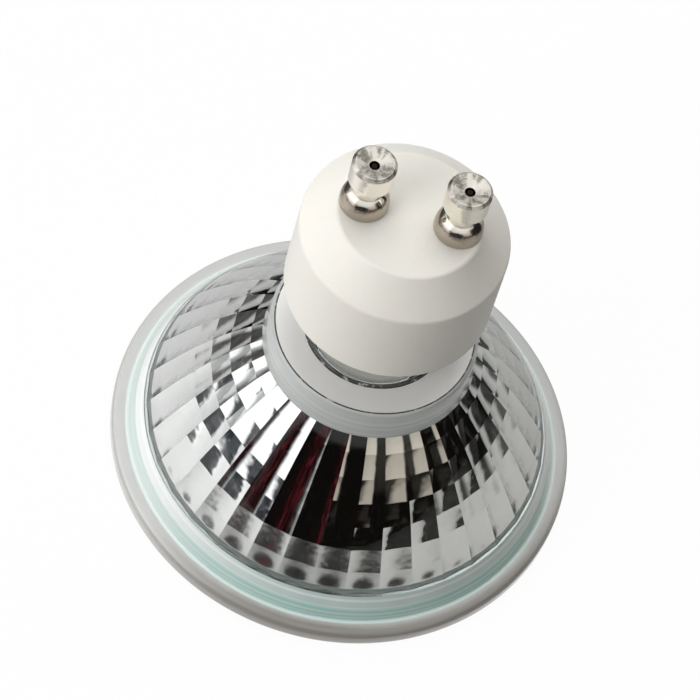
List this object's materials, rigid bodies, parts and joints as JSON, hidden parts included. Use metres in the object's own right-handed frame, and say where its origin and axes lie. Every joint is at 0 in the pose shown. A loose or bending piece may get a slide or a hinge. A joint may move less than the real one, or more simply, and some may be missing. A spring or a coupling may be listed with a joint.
{
  "type": "gu10 spotlight bulb",
  "caption": "Reflector spotlight bulb: fluted mirrored glass bowl behind a flat cover glass, with a ceramic cap and twist-lock contact pins.",
  "frame": {"origin": "centre of the front rim, in the plane that the lamp stands on", "axes": "+Z along the lamp's axis, from the front rim to the contact pins; the pins lie side by side along X"},
  "size_m": [0.0506, 0.0506, 0.053],
  "materials": {
    "mirrored_glass": "pressed glass, aluminised inside",
    "clear_glass": "clear, polished",
    "silicone": "matt, translucent",
    "steatite": "satin, fired",
    "nickel_plate": "turned and plated",
    "cement": "matt, porous",
    "quartz": "clear, blown",
    "tungsten": "drawn wire, satin",
    "molybdenum": "drawn wire and rolled foil"
  },
  "bodies": {
    "root": {"reflector": "mirrored_glass", "cover_glass": "clear_glass", "cover_seal": "silicone", "ceramic_cap": "steatite", "contact_pin_left": "nickel_plate", "contact_pin_right": "nickel_plate", "cap_cement": "cement", "capsule_envelope": "quartz", "capsule_cement": "cement", "filament": "tungsten", "filament_support": "tungsten", "inner_lead_left": "molybdenum", "inner_lead_right": "molybdenum", "foil_left": "molybdenum", "foil_right": "molybdenum", "outer_lead_left": "molybdenum", "outer_lead_right": "molybdenum", "pin_lead_right": "molybdenum", "fuse_wire": "nickel_plate"}
  },
  "joints": []
}
